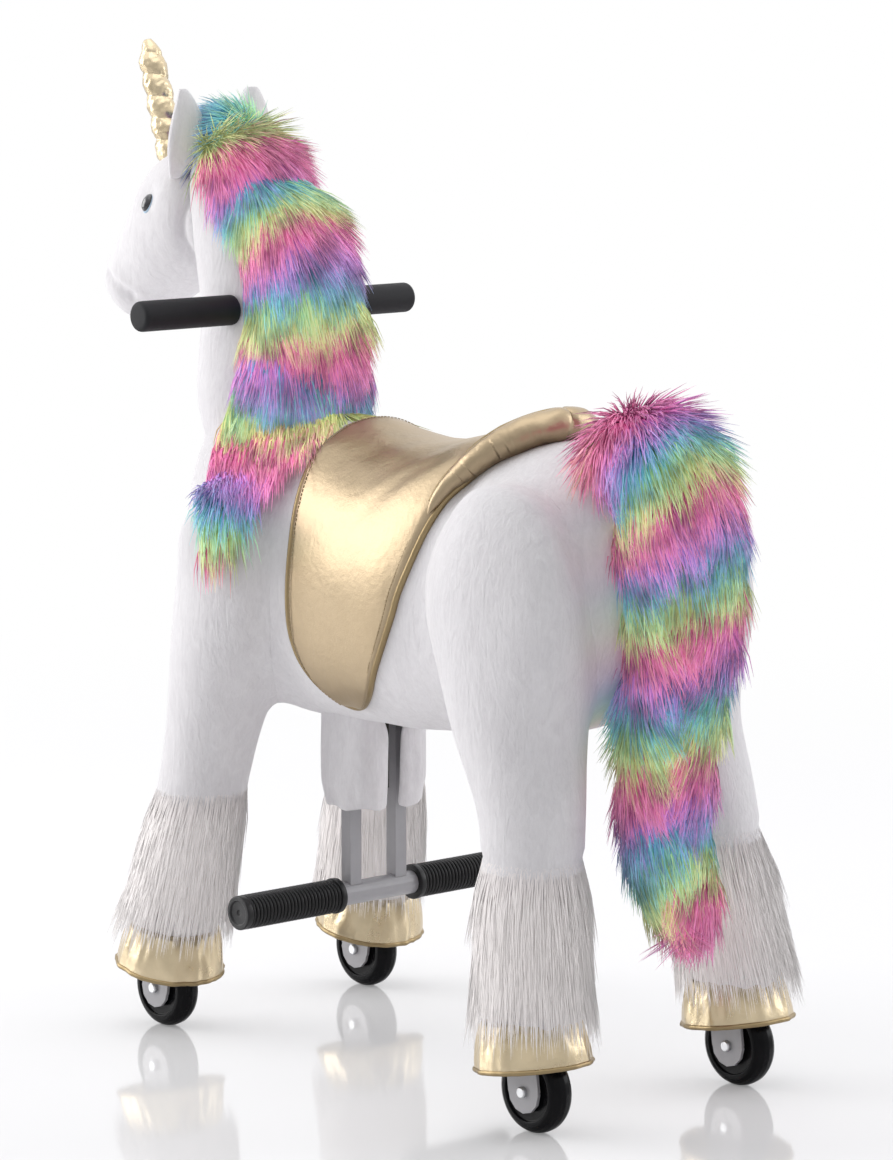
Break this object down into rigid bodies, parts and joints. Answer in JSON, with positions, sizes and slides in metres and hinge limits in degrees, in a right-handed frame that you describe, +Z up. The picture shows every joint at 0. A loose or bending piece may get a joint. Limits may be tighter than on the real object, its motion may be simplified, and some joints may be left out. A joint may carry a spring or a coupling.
{
  "type": "ride-on unicorn",
  "caption": "White plush ride-on unicorn with rainbow mane and tail, gold saddle, hooves and horn; its hinged legs step on wheels as the rider bounces on the stirrup bar.",
  "frame": {"origin": "centre of the footprint at floor level, under the wheels", "axes": "+Z up, the animal faces -Y, its left side is +X"},
  "size_m": [0.367, 0.8855, 0.968],
  "materials": {
    "white_plush": "short white plush pile over a padded shell",
    "rainbow_fur": "long fur in bands of pink, purple, turquoise and yellow-green",
    "gold_leather": "soft metallic gold faux leather",
    "black_foam": "matt black foam",
    "black_rubber": "ribbed black rubber",
    "steel": "light grey enamel on steel",
    "black_steel": "satin black enamel on steel",
    "wheel_black": "hard black polyurethane, smooth",
    "eye_black": "glossy black"
  },
  "bodies": {
    "body_and_frame": {"main_frame": "black_steel", "stirrup_guide": "black_steel", "body": "white_plush", "saddle": "gold_leather", "tail": "rainbow_fur", "arm_sleeve_left": "white_plush", "arm_sleeve_right": "white_plush"},
    "head_and_handlebar": {"steering_column": "steel", "handlebar": "steel", "handle_grip_left": "black_foam", "handle_grip_right": "black_foam", "neck": "white_plush", "head": "white_plush", "horn": "gold_leather", "ear_left": "white_plush", "ear_right": "white_plush", "eye_left": "eye_black", "eye_right": "eye_black", "mane": "rainbow_fur"},
    "front_legs": {"front_hip_axle": "steel", "front_leg_tube_left": "steel", "front_leg_tube_right": "steel", "front_leg_left": "white_plush", "front_leg_right": "white_plush", "front_hoof_left": "gold_leather", "front_hoof_right": "gold_leather"},
    "rear_legs": {"rear_hip_axle": "steel", "rear_leg_tube_left": "steel", "rear_leg_tube_right": "steel", "rear_fork_left": "steel", "rear_fork_right": "steel", "rear_axle_bolt_left": "steel", "rear_axle_bolt_right": "steel", "rear_leg_left": "white_plush", "rear_leg_right": "white_plush", "rear_hoof_left": "gold_leather", "rear_hoof_right": "gold_leather"},
    "front_fork_left": {"front_fork_left": "steel", "steering_arm_left": "steel", "front_axle_bolt_left": "steel"},
    "front_fork_right": {"front_fork_right": "steel", "steering_arm_right": "steel", "front_axle_bolt_right": "steel"},
    "tie_rod": {"tie_rod": "steel"},
    "stirrup": {"stirrup_arms": "steel", "stirrup_bar": "steel", "stirrup_grip_left": "black_rubber", "stirrup_grip_right": "black_rubber"},
    "front_link": {"front_link": "black_steel"},
    "rear_link": {"rear_link": "black_steel"},
    "front_wheel_left": {"front_wheel_left": "wheel_black"},
    "front_wheel_right": {"front_wheel_right": "wheel_black"},
    "rear_wheel_left": {"rear_wheel_left": "wheel_black"},
    "rear_wheel_right": {"rear_wheel_right": "wheel_black"}
  },
  "joints": [
    {"name": "front_leg_swing", "type": "hinge", "parent": "body_and_frame", "child": "front_legs", "pos_m": [0, -0.131, 0.46], "axis": [1, 0, 0], "range_deg": [0, 10]},
    {"name": "rear_leg_swing", "type": "hinge", "parent": "body_and_frame", "child": "rear_legs", "pos_m": [0, 0.274, 0.46], "axis": [-1, 0, 0], "range_deg": [0, 10]},
    {"name": "stirrup_slide", "type": "slide", "parent": "body_and_frame", "child": "stirrup", "axis": [0, 0, -1], "range_m": [0, 0.0262]},
    {"name": "front_link_turn", "type": "hinge", "parent": "stirrup", "child": "front_link", "pos_m": [0, -0.048, 0.355], "axis": [-1, 0, 0], "range_deg": [0, 20.5]},
    {"name": "rear_link_turn", "type": "hinge", "parent": "stirrup", "child": "rear_link", "pos_m": [0, -0.048, 0.355], "axis": [1, 0, 0], "range_deg": [0, 5]},
    {"name": "head_turn", "type": "hinge", "parent": "body_and_frame", "child": "head_and_handlebar", "pos_m": [0, -0.196, 0.71], "axis": [0, 0, 1], "range_deg": [-20, 20]},
    {"name": "front_fork_left_turn", "type": "hinge", "parent": "front_legs", "child": "front_fork_left", "pos_m": [0.13, -0.213, 0.03966], "axis": [0, 0.1915, 0.9815], "range_deg": [-20, 20]},
    {"name": "front_fork_right_turn", "type": "hinge", "parent": "front_legs", "child": "front_fork_right", "pos_m": [-0.13, -0.213, 0.03966], "axis": [0, 0.1915, 0.9815], "range_deg": [-20, 20]},
    {"name": "tie_rod_slide", "type": "slide", "parent": "front_legs", "child": "tie_rod", "axis": [1, 0, 0], "range_m": [-0.0105, 0.0105]},
    {"name": "front_wheel_left_spin", "type": "hinge", "parent": "front_fork_left", "child": "front_wheel_left", "pos_m": [0.13, -0.213, 0.03966], "axis": [1, 0, 0], "continuous": true},
    {"name": "front_wheel_right_spin", "type": "hinge", "parent": "front_fork_right", "child": "front_wheel_right", "pos_m": [-0.13, -0.213, 0.03966], "axis": [1, 0, 0], "continuous": true},
    {"name": "rear_wheel_left_spin", "type": "hinge", "parent": "rear_legs", "child": "rear_wheel_left", "pos_m": [0.13, 0.331, 0.03966], "axis": [1, 0, 0], "continuous": true},
    {"name": "rear_wheel_right_spin", "type": "hinge", "parent": "rear_legs", "child": "rear_wheel_right", "pos_m": [-0.13, 0.331, 0.03966], "axis": [1, 0, 0], "continuous": true}
  ],
  "couplings": [
    {"joint": "rear_leg_swing", "follows": "front_leg_swing", "ratio": 1},
    {"joint": "stirrup_slide", "follows": "front_leg_swing", "m_per_rad": 0.1501},
    {"joint": "front_link_turn", "follows": "front_leg_swing", "ratio": 2.04},
    {"joint": "rear_link_turn", "follows": "front_leg_swing", "ratio": 0.484},
    {"joint": "front_fork_left_turn", "follows": "head_turn", "ratio": 1},
    {"joint": "front_fork_right_turn", "follows": "head_turn", "ratio": 1},
    {"joint": "tie_rod_slide", "follows": "head_turn", "m_per_rad": 0.0297}
  ]
}
